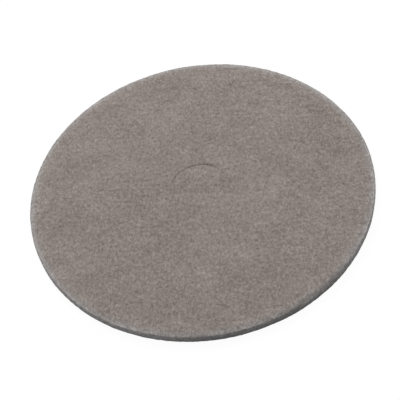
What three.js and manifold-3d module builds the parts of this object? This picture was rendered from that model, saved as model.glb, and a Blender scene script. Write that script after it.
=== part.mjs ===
// Floor polishing pad: a round, thin disc of bonded non-woven web, die-cut as one piece.
// The pad lies flat on its floor face. Millimetres, +Z up, origin at the centre of the floor face.
// In its middle a die has scored a round knock-out. The plug inside the score is still held by
// short uncut ties, and it sits a little below the face, deeper on its +Y side than on its -Y side.

import * as THREE from "three";
import { mergeVertices } from "three/addons/utils/BufferGeometryUtils.js";
import Module from "manifold-3d";

// The disc
const PAD_DIAMETER = 508;
const PAD_THICKNESS = 12.7;
const TOP_EDGE_ROUND = 3;
const FLOOR_EDGE_ROUND = 2;

// The scored knock-out
const KNOCKOUT_DIAMETER = 85.7;
const SCORE_WIDTH = 0.5;
const TIE_COUNT = 4;
const TIE_WIDTH = 8;
const FIRST_TIE_ANGLE = Math.PI / 4;

// How far the plug's top lies below the face, at the two ends of its slope
const PLUG_DROP_FAR = 1.4;
const PLUG_DROP_NEAR = 0.2;

// How finely the round shapes are divided
const RIM_SEGMENTS = 144;
const KNOCKOUT_SEGMENTS = 96;
const EDGE_STEPS = 4;

// The most of the thickness that one edge round may take
const EDGE_SHARE = 0.45;

// How far a cutter runs past the faces that it cuts through
const CUT_MARGIN = 2;

const padRadius = PAD_DIAMETER / 2;
const knockoutRadius = KNOCKOUT_DIAMETER / 2;
const topRound = Math.min(TOP_EDGE_ROUND, PAD_THICKNESS * EDGE_SHARE);
const floorRound = Math.min(FLOOR_EDGE_ROUND, PAD_THICKNESS * EDGE_SHARE);

const wasm = await Module();
wasm.setup();

// A closed three.js geometry as a solid that can be joined and cut.
function solidFrom(geometry) {
  const bare = geometry.clone();
  bare.deleteAttribute("normal");
  bare.deleteAttribute("uv");
  const merged = mergeVertices(bare, 1e-4);
  return new wasm.Manifold(
    new wasm.Mesh({
      numProp: 3,
      vertProperties: merged.attributes.position.array,
      triVerts: new Uint32Array(merged.index.array),
    }),
  );
}

// A solid's faces as a geometry with flat-shaded facets.
function geometryFrom(solid) {
  const mesh = solid.getMesh();
  const geometry = new THREE.BufferGeometry();
  geometry.setAttribute("position", new THREE.BufferAttribute(mesh.vertProperties, mesh.numProp));
  geometry.setIndex(new THREE.BufferAttribute(mesh.triVerts, 1));
  const facets = geometry.toNonIndexed();
  facets.computeVertexNormals();
  return facets;
}

// A profile of [radius, height] points turned once round the Z axis.
function turned(profile, segments) {
  const points = profile.map(([radius, height]) => new THREE.Vector2(radius, height));
  return new THREE.LatheGeometry(points, segments).rotateX(Math.PI / 2);
}

// Points of a quarter circle of the given radius round [x, z], from one angle to the next.
function quarterRound(x, z, radius, fromAngle) {
  return Array.from({ length: EDGE_STEPS + 1 }, (_, step) => {
    const angle = fromAngle + (step / EDGE_STEPS) * (Math.PI / 2);
    return [x + radius * Math.cos(angle), z + radius * Math.sin(angle)];
  });
}

// The uncut disc: a flat floor face, an upright wall with two soft edges, and a flat top face.
function discSolid() {
  const profile = [
    [0, 0],
    ...quarterRound(padRadius - floorRound, floorRound, floorRound, -Math.PI / 2),
    ...quarterRound(padRadius - topRound, PAD_THICKNESS - topRound, topRound, 0),
    [0, PAD_THICKNESS],
  ];
  return solidFrom(turned(profile, RIM_SEGMENTS));
}

// What is removed above the plug: a disc whose underside slopes down from -Y to +Y.
function plugSinkSolid() {
  const height = PLUG_DROP_FAR + PLUG_DROP_NEAR + CUT_MARGIN;
  const profile = [
    [0, 0],
    [knockoutRadius, 0],
    [knockoutRadius, height],
    [0, height],
  ];
  const slope = (PLUG_DROP_FAR - PLUG_DROP_NEAR) / KNOCKOUT_DIAMETER;
  const middle = PAD_THICKNESS - (PLUG_DROP_FAR + PLUG_DROP_NEAR) / 2;
  const tilted = turned(profile, KNOCKOUT_SEGMENTS);
  tilted.applyMatrix4(new THREE.Matrix4().makeShear(0, 0, 0, -slope, 0, 0));
  tilted.translate(0, 0, middle);
  return solidFrom(tilted);
}

// The score: a thin ring through the whole thickness, left uncut at the ties.
function scoreSolid() {
  const low = -CUT_MARGIN;
  const high = PAD_THICKNESS + CUT_MARGIN;
  const ring = turned(
    [
      [knockoutRadius - SCORE_WIDTH, low],
      [knockoutRadius, low],
      [knockoutRadius, high],
      [knockoutRadius - SCORE_WIDTH, high],
      [knockoutRadius - SCORE_WIDTH, low],
    ],
    KNOCKOUT_SEGMENTS,
  );
  const reach = knockoutRadius + CUT_MARGIN;
  let score = solidFrom(ring);
  for (let tie = 0; tie < TIE_COUNT; tie += 1) {
    const bridge = new THREE.BoxGeometry(reach, TIE_WIDTH, high - low + 2 * CUT_MARGIN);
    bridge.translate(reach / 2, 0, (low + high) / 2);
    bridge.rotateZ(FIRST_TIE_ANGLE + (tie / TIE_COUNT) * 2 * Math.PI);
    score = score.subtract(solidFrom(bridge));
  }
  return score;
}

// Warm grey felted fibre, quite matt.
const webMaterial = new THREE.MeshStandardMaterial({
  name: "fibre_web",
  color: new THREE.Color(0.262, 0.227, 0.209),
  roughness: 0.95,
  metalness: 0,
});

function polishingPad() {
  const solid = discSolid().subtract(plugSinkSolid()).subtract(scoreSolid());
  const mesh = new THREE.Mesh(geometryFrom(solid), webMaterial);
  mesh.name = "polishing_pad";
  return mesh;
}

const pad = new THREE.Group();
pad.name = "floor_polishing_pad";
pad.add(polishingPad());

export default pad;
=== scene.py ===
# %% [markdown]
# # A floor polishing pad
#
# The object is a round, thin disc of non-woven web: crimped fibres laid at random, bonded where they
# cross and pressed into a felt. A die has cut the disc, so its wall is a cut section of the same web,
# and a second die has scored a round knock-out in the middle, whose plug is still in place.
# This lesson builds it in five steps: the camera, the web as one closed surface, the loose fibres
# on it, the materials, and the light.

import math

import bpy
import numpy as np
from mathutils import Matrix, Vector


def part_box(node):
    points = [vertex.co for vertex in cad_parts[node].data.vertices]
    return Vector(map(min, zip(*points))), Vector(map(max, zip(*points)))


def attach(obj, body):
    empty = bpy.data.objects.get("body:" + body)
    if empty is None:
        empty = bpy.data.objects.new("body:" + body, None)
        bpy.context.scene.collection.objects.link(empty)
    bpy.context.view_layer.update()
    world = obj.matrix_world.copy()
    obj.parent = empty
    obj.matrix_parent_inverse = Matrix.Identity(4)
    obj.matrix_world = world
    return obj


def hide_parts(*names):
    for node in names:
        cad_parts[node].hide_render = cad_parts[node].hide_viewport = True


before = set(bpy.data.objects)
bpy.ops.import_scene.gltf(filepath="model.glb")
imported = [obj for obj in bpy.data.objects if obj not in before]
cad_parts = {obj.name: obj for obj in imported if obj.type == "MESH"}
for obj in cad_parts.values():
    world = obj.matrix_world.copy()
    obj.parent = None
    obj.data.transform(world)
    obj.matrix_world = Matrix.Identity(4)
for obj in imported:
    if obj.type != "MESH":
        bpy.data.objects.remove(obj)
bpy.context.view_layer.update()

# %% [markdown]
# ## Sizes
#
# Everything is in metres. The disc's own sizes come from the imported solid, so the looks can't drift
# away from it. The sizes of its soft edges, of the score and of the ties are named once here, and
# those of the fibres where the fibres are made.

# %% Name the sizes
MM = 0.001

low_corner, high_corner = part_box("polishing_pad")
PAD_RADIUS = (high_corner.x - low_corner.x) / 2
THICKNESS = high_corner.z - low_corner.z

# The soft edges, the face's fall towards its rim, and the gap between the floor face and the floor
TOP_EDGE_ROUND = 3.0 * MM
FLOOR_EDGE_ROUND = 2.0 * MM
ROLL_OFF_WIDTH = 11.0 * MM
ROLL_OFF_DROP = 1.1 * MM
UNDERSIDE_LIFT = 0.3 * MM

# The knock-out: its score, the lips that sag beside it, the plug's slope and the uncut ties
KNOCKOUT_RADIUS = 85.7 / 2 * MM
SCORE_WIDTH = 0.5 * MM
GROOVE_DEPTH = 0.75 * MM
LIP_WIDTH = 3.2 * MM
LIP_SAG = 0.42 * MM
PLUG_DROP_FAR = 0.6 * MM
PLUG_DROP_NEAR = 0.03 * MM
TIE_WIDTH = 8.0 * MM
TIE_ANGLES = np.radians([45, 135, 225, 315])

print(f"pad: {2 * PAD_RADIUS / MM:.0f} mm across and {THICKNESS / MM:.1f} mm thick")

# %% [markdown]
# ## The camera
#
# The picture was taken from well above, with the camera rolled a little. A lens, a distance and two
# angles place it: the pad's face then covers the same ellipse in the frame as in the photograph.
# The camera is turned first, and then set back along its own line of sight from the middle of the
# pad's face, with a small slide across and up so that the pad sits where it should in the frame.

# %% Set the camera
LENS_MM = 92.4
SENSOR_MM = 36.0
CAMERA_ELEVATION = math.radians(51.3)
CAMERA_ROLL = math.radians(11.6)
CAMERA_DISTANCE = 1.504
PAD_RIGHT_OF_CENTRE = -0.0003
PAD_ABOVE_CENTRE = 0.0197

tilt = Matrix.Rotation(math.pi / 2 - CAMERA_ELEVATION, 3, "X")
roll = Matrix.Rotation(-CAMERA_ROLL, 3, "Z")
turn = tilt @ roll
right, up, back = turn.col[0], turn.col[1], turn.col[2]

camera_data = bpy.data.cameras.new("camera")
camera_data.lens = LENS_MM
camera_data.sensor_width = SENSOR_MM
camera = bpy.data.objects.new("camera", camera_data)
bpy.context.scene.collection.objects.link(camera)
camera.matrix_world = turn.to_4x4()
camera.location = (
    Vector((0, 0, THICKNESS))
    + CAMERA_DISTANCE * back
    - PAD_RIGHT_OF_CENTRE * right
    - PAD_ABOVE_CENTRE * up
)
bpy.context.scene.camera = camera
print("camera at", [round(v, 3) for v in camera.location])

# %% [markdown]
# ## From numbers to a mesh
#
# A surface is a set of points with known neighbours. Round walls and fibres are grids: one index
# runs along a profile and the other round an axis. A disc is different, because a grid of that kind
# crowds its points in the middle. Here a disc is made of rings, each with six more points than the
# ring inside it, so its triangles are of about the same size everywhere. One helper puts the points
# and faces into a mesh without visiting them one by one.


# %% Helpers for grids, discs and meshes
def grid_faces(number):
    """Four corners per face of a grid of point numbers[row, column] whose columns close into a ring.
    Each face joins a point, its neighbour in the next column, and the same two in the next row."""
    beside = np.roll(number, -1, axis=1)
    corners = [number[:-1], beside[:-1], beside[1:], number[1:]]
    return np.stack(corners, axis=-1).reshape(-1, 4)


def ring_start(ring):
    """The number of a ring's first point, when point 0 is the middle and ring k has 6k points."""
    return 1 + 3 * ring * (ring - 1)


def disc_faces(rings):
    """Triangles between each ring and the next one in. In each of its six sectors ring k has k points
    and ring k - 1 has k - 1: k triangles stand on the outer ring and k - 1 hang from the inner."""
    faces = [np.stack([1 + np.arange(6), 1 + (np.arange(6) + 1) % 6, np.zeros(6, int)], axis=1)]
    for k in range(2, rings + 1):
        place = np.arange(6 * k)
        sector, step = np.divmod(place, k)
        outer = ring_start(k) + place
        outer_beside = ring_start(k) + (place + 1) % (6 * k)
        across = sector * (k - 1) + step
        inner = ring_start(k - 1) + across % (6 * (k - 1))
        inner_beside = ring_start(k - 1) + (across + 1) % (6 * (k - 1))
        hanging = step < k - 1
        faces.append(np.stack([outer, outer_beside, inner], axis=1))
        faces.append(np.stack([inner, outer_beside, inner_beside], axis=1)[hanging])
    return np.vstack(faces)


def mesh_object(name, points, quads, triangles=(), smooth=True):
    """A mesh object at the world's origin, from arrays of points and of faces with four or three
    corners each."""
    quads = np.asarray(quads, dtype=np.int32).reshape(-1, 4)
    triangles = np.asarray(triangles, dtype=np.int32).reshape(-1, 3)
    corner_count = quads.size + triangles.size
    face_count = len(quads) + len(triangles)
    sizes = np.concatenate([np.full(len(quads), 4), np.full(len(triangles), 3)])
    starts = np.concatenate([[0], np.cumsum(sizes)[:-1]])

    mesh = bpy.data.meshes.new(name)
    mesh.vertices.add(len(points))
    mesh.vertices.foreach_set("co", np.asarray(points, dtype=np.float32).ravel())
    mesh.loops.add(corner_count)
    mesh.loops.foreach_set("vertex_index", np.concatenate([quads.ravel(), triangles.ravel()]))
    mesh.polygons.add(face_count)
    mesh.polygons.foreach_set("loop_start", starts.astype(np.int32))
    mesh.polygons.foreach_set("use_smooth", np.full(face_count, smooth))
    mesh.update(calc_edges=True)
    mesh.validate()

    piece = bpy.data.objects.new(name, mesh)
    bpy.context.scene.collection.objects.link(piece)
    print(f"{name}: {2 * len(quads) + len(triangles)} triangles")
    return piece


# %% [markdown]
# ## A random height that stays the same
#
# The felted face isn't flat: it has shallow hollows and swells. The sum of many cosine waves of
# about one wavelength, each in its own direction and phase, is a smooth random height. It needs no
# picture, it can be asked for at any point, and a seed makes it the same on each run, so the loose
# fibres can lie on exactly the same swells as the web.


# %% Random swells
def swells(x, y, wavelength, seed, waves=40):
    """The sum of cosine waves in random directions and phases, each 0.75 to 1.35 times as long as the
    wavelength asked for. Its standard deviation is 1."""
    random = np.random.default_rng(seed)
    heading = random.uniform(0, 2 * np.pi, waves)
    number = 2 * np.pi / (wavelength * random.uniform(0.75, 1.35, waves))
    phase = random.uniform(0, 2 * np.pi, waves)
    total = np.zeros(np.shape(x))
    for a, k, p in zip(heading, number, phase):
        total += np.cos(k * (np.cos(a) * x + np.sin(a) * y) + p)
    return total * math.sqrt(2 / waves)


# Height, wavelength and number of waves of the face's swells, from broad to small
FACE_SWELLS = [
    (0.16 * MM, 62 * MM, 40),
    (0.08 * MM, 21 * MM, 40),
    (0.07 * MM, 9 * MM, 40),
    (0.06 * MM, 5.5 * MM, 60),
]


def face_relief(x, y):
    """Height of the felted face over its mean plane: swells of four sizes added up."""
    return sum(
        height * swells(x, y, wavelength, seed, waves)
        for seed, (height, wavelength, waves) in enumerate(FACE_SWELLS, start=1)
    )


along_x = np.linspace(-PAD_RADIUS, PAD_RADIUS, 2000)
print(f"spread of the relief along x: {face_relief(along_x, 0 * along_x).std() / MM:.2f} mm")

# %% [markdown]
# ## The web
#
# The whole disc is one closed surface. Its top side is a disc of rings: the plug, the score and the
# face. From its last ring a grid of rows goes on over the soft shoulder, down the cut wall, round the
# floor edge and in to the middle of the floor face.
#
# The die has pushed the plug down, most of all on its far side, where the score stands open. The
# four uncut ties pull the edges of the score together where they cross it. On the near side the
# fibres have closed over the cut again, and only a faint crease is left. The face rolls off a little
# towards the rim, and the top edge is soft, and rounder on two stretches that are worn.

# %% What bends the top side
# Bearings in degrees, to the right from the far side, between which the score opens and closes
SCORE_OPENS = (-80, 5)
SCORE_CLOSES = (25, 105)
LEAST_OPEN = 0.02

# How much of its opening a tie takes from the score, and a tie's own reach as a share of its width
TIE_HOLD = 0.35
TIE_SPREAD = 0.6

# Middle and spread in degrees round the axis, and extra edge radius, of the worn stretches
WORN_STRETCHES = [(-60, 15, 4.5 * MM), (-101, 12, 1.5 * MM)]


def span(start, stop, step):
    """Evenly spaced values from start to stop, no further apart than step, without the last one."""
    count = max(1, math.ceil(abs(stop - start) / step))
    return np.linspace(start, stop, count, endpoint=False)


def smooth_step(value, low, high):
    """0 below low and 1 above high, with a smooth rise between."""
    share = np.clip((value - low) / (high - low), 0, 1)
    return share * share * (3 - 2 * share)


def plug_drop(x, y):
    """How far the plug lies below the face. It grows from the near side to the far side as the power
    2.5 of the way across."""
    share = np.clip(0.5 + y / (2 * KNOCKOUT_RADIUS), 0, 1)
    return PLUG_DROP_NEAR + (PLUG_DROP_FAR - PLUG_DROP_NEAR) * share**2.5


def near_tie(x, y):
    """1 in the middle of an uncut tie, and a bell curve of the distance round the score from there.
    The angle of a complex number brings each difference of angles to within half a turn."""
    away = np.abs(np.angle(np.exp(1j * (np.arctan2(y, x)[..., None] - TIE_ANGLES)))).min(axis=-1)
    return np.exp(-((away * KNOCKOUT_RADIUS / (TIE_SPREAD * TIE_WIDTH)) ** 2))


def score_open(x, y):
    """How far the score stands open, from 0 to 1: one smooth step up, one down, less at the ties, and
    hardly at all on the near half."""
    bearing = np.degrees(np.arctan2(x, y))
    far_arc = smooth_step(bearing, *SCORE_OPENS) * (1 - smooth_step(bearing, *SCORE_CLOSES))
    return far_arc * (1 - TIE_HOLD * near_tie(x, y)) + LEAST_OPEN


def lip_sag(away):
    """How far the web's edge sags at a distance from the score: a parabola that ends where the lip
    does."""
    return LIP_SAG * np.clip(1 - away / LIP_WIDTH, 0, 1) ** 2


# %% The top side, ring by ring
PLUG, SCORE, FACE = 0, 1, 2
RING_STEP = 1.75 * MM
LIP_RINGS = 7
LIP_CLEARANCE = 0.8 * MM
GROOVE_INSET = 0.08 * MM

# How much of the plug's drop a tie takes away, and how far from the score it does
TIE_PULL = 0.5
TIE_REACH = 2.5 * MM


def top_rings():
    """Radius, depth and kind of each ring from the first one round the middle to the shoulder.
    The depth is how far the ring lies below the face where the score is fully open. The rings crowd
    towards the score as the power 1.5 of an even spacing."""
    outer = KNOCKOUT_RADIUS
    inner = KNOCKOUT_RADIUS - SCORE_WIDTH
    lip = LIP_WIDTH * np.linspace(1, 0, LIP_RINGS) ** 1.5
    rows = []

    def stretch(radius, depth, kind):
        """Adds the rows of some rings of one kind."""
        radius, depth = np.broadcast_arrays(radius, depth)
        rows.append(np.stack([radius, depth, np.full(radius.shape, kind)], axis=1))

    clear = LIP_WIDTH + LIP_CLEARANCE
    shoulder = PAD_RADIUS - TOP_EDGE_ROUND
    stretch(span(RING_STEP, inner - clear, RING_STEP), 0.0, PLUG)
    stretch(inner - lip, lip_sag(lip), PLUG)
    stretch(np.array([inner + GROOVE_INSET, outer - GROOVE_INSET]), GROOVE_DEPTH, SCORE)
    stretch(outer + lip[::-1], lip_sag(lip[::-1]), FACE)
    stretch(span(outer + clear, shoulder, RING_STEP), 0.0, FACE)
    stretch(np.array([shoulder]), 0.0, FACE)
    return np.concatenate(rows)


def roll_off(radius):
    """How far the face has sunk towards its rim: the power 1.5 of a smooth step over the roll-off."""
    return ROLL_OFF_DROP * smooth_step(radius, PAD_RADIUS - ROLL_OFF_WIDTH, PAD_RADIUS) ** 1.5


def edge_round(angle):
    """Radius of the soft top edge: that of the new edge, and more on two stretches that are worn,
    each as a bell curve of the angle round the disc."""
    total = np.full(np.shape(angle), TOP_EDGE_ROUND)
    for middle, spread, extra in WORN_STRETCHES:
        away = np.degrees(np.angle(np.exp(1j * (angle - math.radians(middle)))))
        total = total + extra * np.exp(-((away / spread) ** 2))
    return total


def edge_sag(radius, angle):
    """How far the soft top edge lies below the face: the fall of a quarter circle towards the wall."""
    soft = edge_round(angle)
    over = np.clip(radius - (PAD_RADIUS - soft), 0, soft)
    return soft - np.sqrt(soft**2 - over**2)


def top_side():
    """Points of the middle and of all rings. Point j of ring k lies at j / 6k of a full turn. Its
    height is the face's, less what rolls off, what the plug has sunk and how deep the score is."""
    rings = top_rings()
    ring = np.arange(1, len(rings) + 1)
    which = np.repeat(ring - 1, 6 * ring)
    place = np.arange(len(which)) - np.repeat(3 * ring * (ring - 1), 6 * ring)
    angle = 2 * np.pi * place / (6 * (which + 1))
    radius, depth, kind = rings[which].T
    x, y = radius * np.cos(angle), radius * np.sin(angle)

    pull = TIE_PULL * near_tie(x, y) * np.exp(-np.abs(radius - KNOCKOUT_RADIUS) / TIE_REACH)
    sunk = np.where(kind == PLUG, 1 - pull, np.where(kind == SCORE, 1, pull))
    z = THICKNESS + face_relief(x, y) - roll_off(radius) - edge_sag(radius, angle)
    z = z - plug_drop(x, y) * sunk - depth * score_open(x, y)
    middle = np.array([0, 0, z[:6].mean()])
    return np.vstack([middle, np.stack([x, y, z], axis=1)]), len(rings)


# %% The shoulder, the wall and the floor face
# The web's layers at the cut wall: how often they wave round the disc, how high they are in
# millimetres, and how far they stand out. Long waves add to that.
LAYER_TIMES_ROUND = (30, 170)
LAYER_HEIGHTS = (2.0, 7.0)
LAYER_RELIEF = 0.10 * MM
WALL_WAVE = 0.15 * MM
WALL_WAVELENGTH = 70 * MM

# The floor face's unevenness, as a share of its lift, and its wavelength
UNDERSIDE_UNEVEN = 0.4
UNDERSIDE_WAVELENGTH = 15 * MM

# The rows' radii under the pad, and into how many the floor edge, the wall and the top edge are cut
FLOOR_RADII = np.array([4, 20, 40, 60, 90, 120, 150, 180, 210, 235]) * MM
FLOOR_EDGE_ROWS, WALL_ROWS, TOP_EDGE_ROWS = 5, 9, 6


def layer_waves(angle, height, seed, waves=40):
    """The sum of cosine waves that each fit a whole number of times round the disc, so that they close
    on themselves, and that are much shorter in height than round the disc."""
    random = np.random.default_rng(seed)
    times = random.integers(*LAYER_TIMES_ROUND, waves)
    layer_height = random.uniform(*LAYER_HEIGHTS, waves) * MM
    number = 2 * np.pi / layer_height * random.choice([-1, 1], waves)
    phase = random.uniform(0, 2 * np.pi, waves)
    total = np.zeros(np.broadcast_shapes(np.shape(angle), np.shape(height)))
    for n, k, p in zip(times, number, phase):
        total += np.cos(n * angle + k * height + p)
    return total * math.sqrt(2 / waves)


def wall_push(angle, height):
    """How far the cut wall stands out at a place: long waves round the disc, and the web's layers."""
    x, y = PAD_RADIUS * np.cos(angle), PAD_RADIUS * np.sin(angle)
    long_waves = swells(x, y, WALL_WAVELENGTH, seed=6)
    return LAYER_RELIEF * layer_waves(angle, height, seed=5) + WALL_WAVE * long_waves - WALL_WAVE


def underside(x, y):
    """Height of the floor face over the floor: its lift, made uneven by the tanh of some swells."""
    uneven = UNDERSIDE_UNEVEN * np.tanh(swells(x, y, UNDERSIDE_WAVELENGTH, seed=7))
    return UNDERSIDE_LIFT * (1 + uneven)


def skirt_rows(angle):
    """Radius and height of each row below the top side, from the floor face's middle out and up. Both
    edges are parts of circles, and the top one's ends where it meets the top side's last ring."""
    floor_turn = np.linspace(-np.pi / 2, 0, FLOOR_EDGE_ROWS)[:, None]
    up_wall = np.linspace(0, 1, WALL_ROWS, endpoint=False)[1:, None]
    soft = edge_round(angle)
    full_turn = np.arccos(1 - TOP_EDGE_ROUND / soft)
    top_turn = np.linspace(0, 1, TOP_EDGE_ROWS, endpoint=False)[:, None] * full_turn
    wall_top = THICKNESS - soft
    rows = [
        (FLOOR_RADII[:, None], 0.0),
        (
            PAD_RADIUS - FLOOR_EDGE_ROUND * (1 - np.cos(floor_turn)),
            FLOOR_EDGE_ROUND * (1 + np.sin(floor_turn)),
        ),
        (PAD_RADIUS, FLOOR_EDGE_ROUND + up_wall * (wall_top - FLOOR_EDGE_ROUND)),
        (PAD_RADIUS - soft * (1 - np.cos(top_turn)), wall_top + soft * np.sin(top_turn)),
    ]
    full = [np.broadcast_arrays(radius, height, angle)[:2] for radius, height in rows]
    return np.concatenate([r for r, _ in full]), np.concatenate([z for _, z in full])


def skirt(around):
    """The rows carried round the axis, pushed out by the wall's waves and lifted off the floor."""
    angle = np.linspace(0, 2 * np.pi, around, endpoint=False)[None, :]
    radius, height = skirt_rows(angle)
    x, y = radius * np.cos(angle), radius * np.sin(angle)
    upright = smooth_step(radius, PAD_RADIUS - TOP_EDGE_ROUND, PAD_RADIUS)
    on_top = (1 - upright) * (height > THICKNESS / 2)
    at_floor = 1 - smooth_step(height, 0, FLOOR_EDGE_ROUND)
    pushed = radius + upright * wall_push(angle, height)
    z = height + at_floor * underside(x, y) + on_top * (face_relief(x, y) - roll_off(radius))
    return np.stack([pushed * np.cos(angle), pushed * np.sin(angle), z], axis=-1)


def closed_web():
    """The top side, the skirt joined to its last ring, and a fan in the middle of the floor face."""
    top, rings = top_side()
    around = 6 * rings
    below = skirt(around)
    number = len(top) + np.arange(below.shape[0] * around).reshape(-1, around)
    last_ring = ring_start(rings) + np.arange(around)
    points = np.vstack([top, below.reshape(-1, 3), [[0, 0, below[0, :, 2].mean()]]])
    floor_middle = np.full(around, len(points) - 1)
    fan = np.stack([floor_middle, np.roll(number[0], -1), number[0]], axis=1)
    return points, grid_faces(np.vstack([number, last_ring])), np.vstack([disc_faces(rings), fan])


web = mesh_object("fibre_web", *closed_web())

# %% [markdown]
# ## The loose fibres
#
# What makes a non-woven look like one is single crimped fibres on top of the felt. Each one is a
# thin tube along a wavy line: it starts at a random place, heads off in a random direction, swings
# from side to side with its crimp, and dives back into the web at both ends. Three sides and a few
# steps are enough for a fibre that is a third of a millimetre thick. All fibres of one piece are
# worked out together as arrays: the first index is the fibre, the second the step along it.


# %% Fibres as thin tubes
STEPS = 6
SIDES = 3
UPWARDS = np.array([0.0, 0.0, 1.0])

# How deep a fibre's ends lie in the web, and how much thinner they are than its middle
END_DEPTH = 0.2 * MM
END_TAPER = 0.55


def wavy_lines(length, random, first, crimp=1.3, bend=1.2):
    """Offsets along two directions of wavy lines. The heading swings as a sine of the way along the
    line, by 0.3 to 1 times the crimp and 0.6 to 1.6 times over, plus a steady bend. The line is the
    running sum of short steps along that heading."""
    count = len(first)
    along = np.linspace(0, 1, STEPS)[None, :]
    swing = crimp * random.uniform(0.3, 1.0, (count, 1))
    turns = random.uniform(0.6, 1.6, (count, 1))
    phase = random.uniform(0, 2 * np.pi, (count, 1))
    steady = bend * random.normal(0, 1, (count, 1))
    heading = first[:, None] + swing * np.sin(2 * np.pi * turns * along + phase) + steady * along
    step = length[:, None] / (STEPS - 1)
    dx = np.cumsum(np.cos(heading) * step, axis=1)
    dy = np.cumsum(np.sin(heading) * step, axis=1)
    return dx - dx.mean(axis=1, keepdims=True), dy - dy.mean(axis=1, keepdims=True)


def arch(count, lift, random):
    """Height of each fibre over the web: a half wave over its length, 0.3 to 1.3 times as high as the
    lift, with both ends in the web."""
    along = np.linspace(0, 1, STEPS)[None, :]
    return np.sin(np.pi * along) * lift * random.uniform(0.3, 1.3, (count, 1)) - END_DEPTH


def tubes(name, centre, up, thickness, tone):
    """Closed tubes round the lines centre[fibre, step, xyz]. Each ring is a small polygon in the plane
    of the line's sideways direction and of the upward one square to both, and it narrows towards both
    ends as the sixth power of the way from the middle."""
    count = len(centre)
    tangent = np.gradient(centre, axis=1)
    tangent /= np.linalg.norm(tangent, axis=2, keepdims=True)
    side = np.cross(tangent, up)
    side /= np.linalg.norm(side, axis=2, keepdims=True)
    top = np.cross(side, tangent)
    along = np.linspace(-1, 1, STEPS)[None, :, None, None]
    radius = thickness[:, None, None, None] / 2 * (1 - END_TAPER * along**6)
    turn_angle = np.pi / 2 - 2 * np.pi * np.arange(SIDES)[None, None, :, None] / SIDES
    ring = centre[:, :, None, :] + radius * (
        np.cos(turn_angle) * side[:, :, None, :] + np.sin(turn_angle) * top[:, :, None, :]
    )

    first = np.arange(count)[:, None] * STEPS * SIDES
    pattern = grid_faces(np.arange(STEPS * SIDES).reshape(STEPS, SIDES))
    quads = (first[:, :, None] + pattern[None, :, :]).reshape(-1, 4)
    start_cap = first + np.arange(SIDES)[::-1]
    end_cap = first + (STEPS - 1) * SIDES + np.arange(SIDES)
    piece = mesh_object(name, ring.reshape(-1, 3), quads, np.vstack([start_cap, end_cap]))
    add_tone(piece, np.repeat(np.clip(tone, 0, 1), STEPS * SIDES))
    add_fibre_map(piece, count)
    return piece


def add_tone(piece, tone):
    """Stores how light each fibre is as a number on its points, for the material to read."""
    attribute = piece.data.attributes.new("tone", "FLOAT", "POINT")
    attribute.data.foreach_set("value", tone.astype(np.float32))


def add_fibre_map(piece, count):
    """A UV map with one small square cell for each fibre: along the fibre in u, round it in v. Above
    the tube's strip lie its two caps, as small triangles side by side. A pattern baked through the
    map stays sharp, because no two faces share a place. All places are shares of a cell."""
    margin, cap_low, cap_high = 0.06, 0.84, 0.92
    cap_starts, cap_width = (0.09, 0.54), 0.32
    cells = math.ceil(math.sqrt(count))
    fibre = np.arange(count)
    cell_u = (fibre % cells)[:, None, None]
    cell_v = (fibre // cells)[:, None, None]
    step, side = np.meshgrid(np.arange(STEPS - 1), np.arange(SIDES), indexing="ij")
    corner_u = np.stack([step, step, step + 1, step + 1], axis=-1).reshape(-1, 4) / (STEPS - 1)
    corner_v = np.stack([side, side + 1, side + 1, side], axis=-1).reshape(-1, 4) / (SIDES + 1)
    u = (cell_u + margin + (1 - 2 * margin) * corner_u[None]) / cells
    v = (cell_v + margin + (1 - 2 * margin) * corner_v[None]) / cells
    tube_uv = np.stack([u, v], axis=-1).reshape(-1, 2)

    cap_v = np.array([cap_low, cap_high, cap_low])
    caps = []
    for start_u in cap_starts:
        cap_u = start_u + np.array([0.0, cap_width / 2, cap_width])
        cap = np.stack([cell_u[:, 0] + cap_u, cell_v[:, 0] + cap_v], axis=-1) / cells
        caps.append(cap.reshape(-1, 2))
    layer = piece.data.uv_layers.new(name="OFBake")
    layer.data.foreach_set("uv", np.vstack([tube_uv, *caps]).astype(np.float32).ravel())


# %% [markdown]
# ## Fibres on every side
#
# The face gets most of the fibres, in three pieces from dark to light. A few bridge the score. The
# wall shows the same fibres cut across, so there they lie mostly along the layers. The floor face
# is like the face above, pressed flat by the pad's own weight.


# %% Fibres on the face
FIBRES_PER_TONE = 6150
FIBRE_LENGTH = 8 * MM
FIBRE_THICKNESS = 0.28 * MM
LENGTH_SPREAD = (0.6, 1.4)
THICKNESS_SPREAD = (0.7, 1.3)
TONE_SPREAD = 0.2

# How far inside the rim the fibres' middles and all their points stay
MIDDLES_INSIDE = 2 * MM
POINTS_INSIDE = 0.5 * MM


def on_the_face(x, y):
    """Height of the web's top surface at any point of the face or the plug: the same sum of relief,
    edge, plug and lip as the top side's."""
    radius, angle = np.hypot(x, y), np.arctan2(y, x)
    lip = lip_sag(np.abs(radius - KNOCKOUT_RADIUS)) * score_open(x, y)
    plug = np.where(radius < KNOCKOUT_RADIUS, plug_drop(x, y), 0)
    edge = roll_off(radius) + edge_sag(radius, angle)
    return THICKNESS + face_relief(x, y) - edge - plug - lip


def scattered(count, random, reach):
    """Places spread evenly over a disc: the radius is the square root of an even spread."""
    radius = reach * np.sqrt(random.uniform(0, 1, count))
    angle = random.uniform(0, 2 * np.pi, count)
    return radius * np.cos(angle), radius * np.sin(angle)


def kept_inside(x, y, limit):
    """Points outside a circle drawn straight back onto it, each by the limit over its radius."""
    inwards = np.minimum(1, limit / np.hypot(x, y))
    return x * inwards, y * inwards


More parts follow.
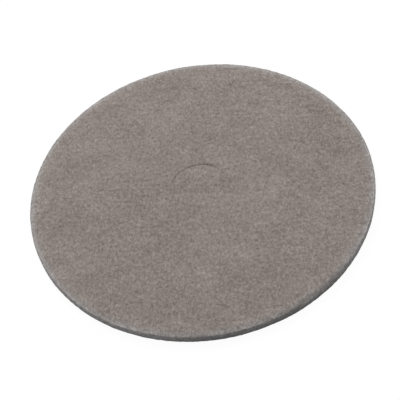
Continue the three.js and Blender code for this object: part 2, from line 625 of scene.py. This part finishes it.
def face_fibres(name, seed, tone, lift):
    """Fibres scattered evenly over the face. They lie on its swells, arch up by lift in the middle
    and dive into the web at their ends."""
    random = np.random.default_rng(seed)
    count = FIBRES_PER_TONE
    x, y = scattered(count, random, PAD_RADIUS - MIDDLES_INSIDE)
    first = random.uniform(0, 2 * np.pi, count)
    length = FIBRE_LENGTH * random.uniform(*LENGTH_SPREAD, count)
    dx, dy = wavy_lines(length, random, first)
    x, y = kept_inside(x[:, None] + dx, y[:, None] + dy, PAD_RADIUS - POINTS_INSIDE)
    centre = np.stack([x, y, on_the_face(x, y) + arch(count, lift, random)], axis=-1)
    thick = FIBRE_THICKNESS * random.uniform(*THICKNESS_SPREAD, count)
    return tubes(name, centre, UPWARDS, thick, tone + random.normal(0, TONE_SPREAD, count))


fibre_pieces = [
    face_fibres("face_fibres_dark", seed=11, tone=0.35, lift=0.20 * MM),
    face_fibres("face_fibres_middle", seed=12, tone=0.60, lift=0.24 * MM),
    face_fibres("face_fibres_light", seed=13, tone=0.85, lift=0.28 * MM),
]


# %% Fibres across the score
# The middles' distance from the score's circle and its spread in millimetres, the widest angle from
# square across the cut in radians, the lengths and thicknesses in millimetres, and the lift
BRIDGE_PLACE = (-0.3, 0.8)
BRIDGE_ANGLE = 1.3
BRIDGE_LENGTHS = (3.5, 7)
BRIDGE_THICKNESSES = (0.2, 0.34)
BRIDGE_LIFT = 0.2 * MM


def score_fibres(count, seed):
    """Short fibres that bridge the score. Each lies on the web, but over the cut it sags only half as
    far as the web does from the higher one of its own ends."""
    random = np.random.default_rng(seed)
    angle = random.uniform(0, 2 * np.pi, count)
    radius = KNOCKOUT_RADIUS + random.normal(*BRIDGE_PLACE, count) * MM
    x, y = radius * np.cos(angle), radius * np.sin(angle)
    first = angle + random.uniform(-BRIDGE_ANGLE, BRIDGE_ANGLE, count)
    length = random.uniform(*BRIDGE_LENGTHS, count) * MM
    dx, dy = wavy_lines(length, random, first, crimp=0.8, bend=0.7)
    x, y = x[:, None] + dx, y[:, None] + dy
    bottom = on_the_face(x, y)
    sagging = 0.5 * bottom + 0.5 * np.maximum(bottom[:, :1], bottom[:, -1:])
    height = np.maximum(bottom, sagging) + arch(count, BRIDGE_LIFT, random)
    thick = random.uniform(*BRIDGE_THICKNESSES, count) * MM
    centre = np.stack([x, y, height], axis=-1)
    return tubes("score_fibres", centre, UPWARDS, thick, random.normal(0.7, 0.15, count))


fibre_pieces.append(score_fibres(count=110, seed=14))


# %% Fibres on the wall
# How far below the top and above the floor the fibres' middles and all their points stay, their
# spread in direction in radians, their lengths and thicknesses in millimetres, and their lift
WALL_MIDDLES = (0.6 * MM, THICKNESS - 1.2 * MM)
WALL_POINTS = (0.5 * MM, THICKNESS - 0.7 * MM)
WALL_SPREAD = 0.45
WALL_LENGTHS = (4, 9)
WALL_THICKNESSES = (0.2, 0.36)
LOW_LIFT = 0.3 * MM

# Middle and spread of the tones of the fibres on the wall and on the floor face
EVEN_TONE = (0.5, 0.25)


def wall_fibres(count, seed):
    """Fibres on the cut wall, mostly along its layers. The wavy line is laid out with its first
    direction round the disc and its second upwards. Beside the two edges a fibre lies as far in as
    the edge's quarter circle does at its height."""
    random = np.random.default_rng(seed)
    angle = random.uniform(0, 2 * np.pi, count)
    height = random.uniform(*WALL_MIDDLES, count)
    first = random.normal(0, WALL_SPREAD, count) + np.pi * random.integers(0, 2, count)
    length = random.uniform(*WALL_LENGTHS, count) * MM
    along, upwards = wavy_lines(length, random, first, crimp=0.9, bend=0.6)
    angle = angle[:, None] + along / PAD_RADIUS
    height = np.clip(height[:, None] + upwards, *WALL_POINTS)
    soft = edge_round(angle)
    into_top = np.clip(height - (THICKNESS - soft), 0, soft)
    into_floor = np.clip(FLOOR_EDGE_ROUND - height, 0, FLOOR_EDGE_ROUND)
    rounded = soft - np.sqrt(soft**2 - into_top**2)
    rounded += FLOOR_EDGE_ROUND - np.sqrt(FLOOR_EDGE_ROUND**2 - into_floor**2)
    radius = PAD_RADIUS + wall_push(angle, height) - rounded + arch(count, LOW_LIFT, random)
    outwards = np.stack([np.cos(angle), np.sin(angle), 0 * angle], axis=-1)
    centre = radius[..., None] * outwards + height[..., None] * UPWARDS
    thick = random.uniform(*WALL_THICKNESSES, count) * MM
    return tubes("wall_fibres", centre, outwards, thick, random.normal(*EVEN_TONE, count))


fibre_pieces.append(wall_fibres(count=3400, seed=15))


# %% Fibres under the pad
FLOOR_MIDDLES_INSIDE = 5 * MM
FLOOR_THICKNESSES = (0.2, 0.3)
LOWEST_MIDDLE = 0.15 * MM


def floor_face_fibres(count, seed):
    """Fibres that arch down from the floor face, pressed flat where they would reach the floor."""
    random = np.random.default_rng(seed)
    x, y = scattered(count, random, PAD_RADIUS - FLOOR_MIDDLES_INSIDE)
    first = random.uniform(0, 2 * np.pi, count)
    length = FIBRE_LENGTH * random.uniform(*LENGTH_SPREAD, count)
    dx, dy = wavy_lines(length, random, first)
    x, y = kept_inside(x[:, None] + dx, y[:, None] + dy, PAD_RADIUS - FLOOR_EDGE_ROUND)
    height = np.maximum(underside(x, y) - arch(count, LOW_LIFT, random), LOWEST_MIDDLE)
    thick = random.uniform(*FLOOR_THICKNESSES, count) * MM
    centre = np.stack([x, y, height], axis=-1)
    return tubes("floor_face_fibres", centre, -UPWARDS, thick, random.normal(*EVEN_TONE, count))


fibre_pieces.append(floor_face_fibres(count=2600, seed=16))

# %% [markdown]
# ## Shader maths as Python
#
# A small class wraps a shader socket. Adding or multiplying two of them adds a Math node, so a
# pattern reads like the formula that it is. Every other node comes from one method.


# %% The shader class
class Field:
    """A number or colour that varies over the surface, held as a node's output socket."""

    def __init__(self, tree, socket):
        self.tree = tree
        self.socket = socket

    def node(self, kind, settings, sockets, output=0):
        """Adds one node: its settings first, then the values or links of its sockets."""
        made = self.tree.nodes.new(kind)
        for name, value in settings.items():
            setattr(made, name, value)
        for name, value in sockets.items():
            if isinstance(value, Field):
                self.tree.links.new(value.socket, made.inputs[name])
            else:
                made.inputs[name].default_value = value
        return Field(self.tree, made.outputs[output])

    def math(self, operation, *values):
        """Adds one Math node on some values."""
        return self.node("ShaderNodeMath", {"operation": operation}, dict(enumerate(values)))

    # Each operator adds one Math node. The reflected forms let a plain number stand first.
    def __add__(self, other):
        return self.math("ADD", self, other)

    def __sub__(self, other):
        return self.math("SUBTRACT", self, other)

    def __rsub__(self, other):
        return self.math("SUBTRACT", other, self)

    def __mul__(self, other):
        return self.math("MULTIPLY", self, other)

    def __abs__(self):
        return self.math("ABSOLUTE", self)

    __radd__ = __add__
    __rmul__ = __mul__

    def ramp(self, low, high):
        """0 where this is below low, 1 where it is above high, smooth between."""
        settings = {"interpolation_type": "SMOOTHSTEP"}
        sockets = {"Value": self, "From Min": low, "From Max": high}
        return self.node("ShaderNodeMapRange", settings, sockets)

    def mix(self, first, second):
        """The colour first where this is 0 and second where it is 1."""
        settings = {"data_type": "RGBA"}
        sockets = {"Factor": self, 6: first, 7: second}
        return self.node("ShaderNodeMix", settings, sockets, 2)


def new_material(name):
    """A material with one Principled BSDF, that shader, and the object coordinates as a Field."""
    material = bpy.data.materials.new(name)
    material.use_nodes = True
    tree = material.node_tree
    shader = tree.nodes["Principled BSDF"]
    start = Field(tree, None).node("ShaderNodeTexCoord", {}, {}, "Object")
    return material, shader, start


def noise(place, size, detail=2.0, roughness=0.5, stretch=(1, 1, 1), turn=0.0):
    """Smooth random values whose blobs are about size across: a noise on the place, which is turned
    back and divided by the size and by the stretch."""
    scale = tuple(size * s for s in stretch)
    sockets = {"Vector": place, "Rotation": (0, 0, turn), "Scale": scale}
    mapped = place.node("ShaderNodeMapping", {"vector_type": "TEXTURE"}, sockets)
    sockets = {"Vector": mapped, "Scale": 1.0, "Detail": detail, "Roughness": roughness}
    return place.node("ShaderNodeTexNoise", {}, sockets)


# %% [markdown]
# ## The felt's material
#
# The face is a warm grey with no gloss. Close up it is a tangle: the places where a smooth noise
# passes through one half are thin wandering lines, and two pale sets and two dark sets of them look
# like crimped fibres over each other and the gaps between. From further off the face shows a fine
# grain, faint streaks along the direction in which the web was laid, and soft clouds where it is
# denser. Towards the rim it is paler and greyer: a painted highlight where light catches the rounded
# shoulder. The cut wall is darker and greyer still, partly its own cut web and partly painted shade,
# as it faces away from the key lamp. It has faint layers along it, and painted shade makes it darkest
# at the floor.
#
# To the eye, dark and light specks differ from grey by the same amount. A colour that is only made
# darker or lighter would be too grey in the dark and too warm in the light, so the saturation falls a
# little as the tone rises.

# %% Helpers for the felt
# How much saturation is lost at the rim, as part of the painted highlight there, and for each unit of
# tone
RIM_TINT_LOSS = 0.6
TONE_TINT_LOSS = 0.55

# The radii between which each change near the rim happens: the painted highlight's greying and
# paling, and the wall's colour taking over
TINT_FADES = (PAD_RADIUS - 16 * MM, PAD_RADIUS + 2 * MM)
NEAR_RIM = (PAD_RADIUS - 24 * MM, PAD_RADIUS - 7 * MM)
AT_RIM = (PAD_RADIUS - 9 * MM, PAD_RADIUS - 2 * MM)
ON_WALL = (PAD_RADIUS - 2.4 * MM, PAD_RADIUS - 0.3 * MM)


def tangle(place, size, sharpness, turn):
    """Thin wandering lines: one, less the sharpness times a smooth noise's distance from one half."""
    value = noise(place, size, detail=1.0, turn=turn)
    return 1 - (abs(value - 0.5) * sharpness).ramp(0.0, 1.0)


def scaled(colour, factor):
    """A colour times a varying number, for each of its three parts."""
    sockets = {0: colour, "Scale": factor}
    return factor.node("ShaderNodeVectorMath", {"operation": "SCALE"}, sockets)


def from_axis(place):
    """Distance from the disc's axis: the length of the place vector with its height taken out."""
    flat = place.node("ShaderNodeVectorMath", {"operation": "MULTIPLY"}, {0: place, 1: (1, 1, 0)})
    return place.node("ShaderNodeVectorMath", {"operation": "LENGTH"}, {0: flat}, "Value")


def less_tinted(colour, radius, tone=1.0):
    """A colour with its saturation multiplied by one, less a loss towards the rim, which is part of
    the painted highlight there, and a loss for the part of the tone that is over 1. Below 1 that part
    is a gain."""
    saturation = 1 - radius.ramp(*TINT_FADES) * RIM_TINT_LOSS - (tone - 1) * TONE_TINT_LOSS
    return colour.node("ShaderNodeHueSaturation", {}, {"Saturation": saturation, "Color": colour})


# %% Make the felt
FELT_COLOUR = (0.2650, 0.227, 0.2060)
# The wall's two greys are darker and greyer than the felt: partly the cut web's own colour, partly
# painted shade, as the near wall faces away from the key lamp.
WALL_COLOUR = (0.262, 0.257, 0.257, 1)
DEEP_COLOUR = (0.165, 0.160, 0.160, 1)
LAID_DIRECTION = -0.26
# Painted highlight: how much paler the face is near the rim and at the rim, where light catches the
# rounded shoulder
NEAR_RIM_HIGHLIGHT = 0.09
AT_RIM_HIGHLIGHT = 0.22
FELT_ROUGHNESS = 0.95
FELT_SPECULAR = 0.2

# Painted shade at the floor: the wall's brightness there, how much it gains upwards, and the heights
# between which it does
WALL_AT_FLOOR = 0.9
WALL_GAIN = 0.3
WALL_GAINS = (1 * MM, 11 * MM)


def felt_material():
    """The web's material. Its tone is close to 1, plus speckle, lines and the unevenness of the laid
    web. The face is the felt's colour times the tone and a painted highlight towards the rim, and the
    wall a mix of two greys times it, darker partly as painted shade and darkest towards the floor."""
    material, shader, place = new_material("fibre_web")
    radius = from_axis(place)

    grain = noise(place, 2.7 * MM, detail=2.0, roughness=0.6, stretch=(1.2, 1.75, 1), turn=-0.2)
    fine = noise(place, 0.6 * MM, detail=2.0, roughness=0.6)
    pale_lines = tangle(place, 3.1 * MM, sharpness=16, turn=0.3)
    pale_lines += tangle(place, 2.3 * MM, sharpness=13, turn=1.3)
    dark_lines = tangle(place, 2.7 * MM, sharpness=14, turn=2.2)
    dark_lines += tangle(place, 4.3 * MM, sharpness=20, turn=0.9)
    streaks = noise(place, 5.5 * MM, detail=2.0, stretch=(4, 1, 1), turn=LAID_DIRECTION)
    smudges = noise(place, 9 * MM, detail=1.0, stretch=(2.5, 1, 1), turn=LAID_DIRECTION)
    clouds = noise(place, 45 * MM, detail=2.0, stretch=(1.5, 1, 1), turn=LAID_DIRECTION)

    speckle = (grain - 0.5) * 1.1 + grain.ramp(0.56, 0.80) * 0.08 + (fine - 0.5) * 0.4
    lines = pale_lines * 0.21 - dark_lines * 0.18
    laid = (streaks - 0.5) * 0.26 + (smudges - 0.5) * 0.15 + (clouds - 0.5) * 0.38
    tone = 0.99 + speckle + lines + laid
    # Painted highlight: the face is paler towards the rim, and less_tinted makes it greyer there
    paler = 1 + radius.ramp(*NEAR_RIM) * NEAR_RIM_HIGHLIGHT + radius.ramp(*AT_RIM) * AT_RIM_HIGHLIGHT
    face = less_tinted(scaled(FELT_COLOUR, tone * paler), radius, tone)

    layers = noise(place, 1.1 * MM, detail=2.0, stretch=(9, 9, 1))
    height = place.node("ShaderNodeSeparateXYZ", {}, {"Vector": place}, "Z")
    # Painted shade: the wall is darker towards the floor, where the floor meets it
    painted_floor_shade = WALL_AT_FLOOR + height.ramp(*WALL_GAINS) * WALL_GAIN
    # Painted shade in part: the wall's two greys are darker than the face
    wall = scaled(layers.ramp(0.25, 0.75).mix(DEEP_COLOUR, WALL_COLOUR), tone * painted_floor_shade)
    colour = radius.ramp(*ON_WALL).mix(face, wall)

    bump_height = grain * 0.5 + fine * 0.2 + lines
    sockets = {"Height": bump_height, "Strength": 0.35, "Distance": 0.4 * MM}
    bump = place.node("ShaderNodeBump", {}, sockets)
    material.node_tree.links.new(colour.socket, shader.inputs["Base Color"])
    material.node_tree.links.new(bump.socket, shader.inputs["Normal"])
    shader.inputs["Roughness"].default_value = FELT_ROUGHNESS
    shader.inputs["Specular IOR Level"].default_value = FELT_SPECULAR
    print("nodes in the felt's material:", len(material.node_tree.nodes))
    return material


web.data.materials.append(felt_material())

# %% [markdown]
# ## The fibres' material
#
# Each fibre has a tone of its own, stored on its points. A mix turns the tone into a colour from a
# dark, dusty brown grey to a pale one, and a little noise keeps a fibre from being even. The pale
# colour is already the less saturated one, so the tone's own loss isn't used here.

# %% Make the fibres' material
DARK_FIBRE = (0.157, 0.131, 0.117, 1)
LIGHT_FIBRE = (0.414, 0.370, 0.348, 1)
FIBRE_ROUGHNESS = 0.8
FIBRE_SPECULAR = 0.25


def fibre_material():
    """The loose fibres' material: a mix of a dark and a pale colour by each fibre's tone."""
    material, shader, place = new_material("loose_fibre")
    tone = place.node("ShaderNodeAttribute", {"attribute_name": "tone"}, {}, "Fac")
    uneven = noise(place, 3 * MM, detail=1.0)
    colour = (tone + (uneven - 0.5) * 0.3).mix(DARK_FIBRE, LIGHT_FIBRE)
    # The fibres grow greyer towards the rim too, as part of the painted highlight.
    colour = less_tinted(colour, from_axis(place))
    material.node_tree.links.new(colour.socket, shader.inputs["Base Color"])
    shader.inputs["Roughness"].default_value = FIBRE_ROUGHNESS
    shader.inputs["Specular IOR Level"].default_value = FIBRE_SPECULAR
    print("nodes in the fibres' material:", len(material.node_tree.nodes))
    return material


loose_fibre = fibre_material()
for piece in fibre_pieces:
    piece.data.materials.append(loose_fibre)

# %% [markdown]
# ## Floor, light and world
#
# The pad lies on a plain pale floor. Seen by the camera the floor is nearly all plain white light,
# with a small share of a matt surface, so a soft shadow stays under the pad. The key lamp hangs
# behind the pad, a little to the left. Two low lamps graze the face and bring out its grain, one at
# the pad's left and one at its right and a little behind. All three are large, so the light is soft,
# and they leave the near wall in shade. The world fills in evenly.

# %% The floor
FLOOR_HALF = 3.0
FLOOR_COLOUR = (0.7, 0.7, 0.7, 1)
WHITE = (1, 1, 1, 1)
WHITE_SHARE = 0.90
WHITE_STRENGTH = 1.05


def sight_rays(tree):
    """1 for rays from the camera and for those that a gloss or a glass sends on: the most of three."""
    rays = Field(tree, None).node("ShaderNodeLightPath", {}, {}, "Is Camera Ray")
    glossy = Field(tree, rays.socket.node.outputs["Is Glossy Ray"])
    through = Field(tree, rays.socket.node.outputs["Is Transmission Ray"])
    return rays.math("MAXIMUM", rays.math("MAXIMUM", rays, glossy), through)


def floor_material():
    """A matt floor that sight rays see mostly as plain white."""
    material = bpy.data.materials.new("pale_floor")
    material.use_nodes = True
    tree = material.node_tree
    tree.nodes.clear()
    start = Field(tree, None)
    matt = start.node("ShaderNodeBsdfDiffuse", {}, {"Color": FLOOR_COLOUR})
    white = start.node("ShaderNodeEmission", {}, {"Color": WHITE, "Strength": WHITE_STRENGTH})
    seen = start.node("ShaderNodeMixShader", {}, {0: WHITE_SHARE, 1: matt, 2: white})
    shown = start.node("ShaderNodeMixShader", {}, {0: sight_rays(tree), 1: matt, 2: seen})
    output = tree.nodes.new("ShaderNodeOutputMaterial")
    tree.links.new(shown.socket, output.inputs["Surface"])
    return material


corners = FLOOR_HALF * np.array([[-1, -1, 0], [1, -1, 0], [1, 1, 0], [-1, 1, 0]])
floor = mesh_object("floor", corners, [[0, 1, 2, 3]], smooth=False)
floor.data.materials.append(floor_material())


# %% The lamps and the world
LAMP_DISTANCE = 3.5
LAMP_SIZE = 1.4
WORLD_LIGHT = 0.34

# Each lamp's name, its angle to the left of far and its height in degrees, and its power in watts
LAMPS = [("key", 20, 42, 66.0), ("left_fill", 92, 20, 36.0), ("right_fill", -62, 18, 68.0)]


def lamp(name, azimuth, elevation, power):
    """A square lamp on a sphere round the pad, turned to face it."""
    azimuth, elevation = math.radians(azimuth), math.radians(elevation)
    level = math.cos(elevation)
    away = Vector((-math.sin(azimuth) * level, math.cos(azimuth) * level, math.sin(elevation)))
    data = bpy.data.lights.new(name, "AREA")
    data.size = LAMP_SIZE
    data.energy = power
    light = bpy.data.objects.new(name, data)
    bpy.context.scene.collection.objects.link(light)
    light.location = LAMP_DISTANCE * away
    light.rotation_euler = away.to_track_quat("Z", "Y").to_euler()
    print(name, "lamp at", [round(v, 2) for v in light.location])


for settings in LAMPS:
    lamp(*settings)

world = bpy.data.worlds.new("soft_light")
bpy.context.scene.world = world
world.use_nodes = True
world_tree = world.node_tree
background = world_tree.nodes["Background"]
seen_white = sight_rays(world_tree)
brightness = WORLD_LIGHT + seen_white * (1 - WORLD_LIGHT)
world_tree.links.new(brightness.socket, background.inputs["Strength"])
background.inputs["Color"].default_value = WHITE
bpy.context.scene.view_settings.view_transform = "Standard"

# %% [markdown]
# ## Attach the pieces
#
# Every piece rides on the one body. The web stands for the solid, which stays hidden under it.

# %% Finish
for piece in [web, *fibre_pieces]:
    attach(piece, "root")
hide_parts("polishing_pad")
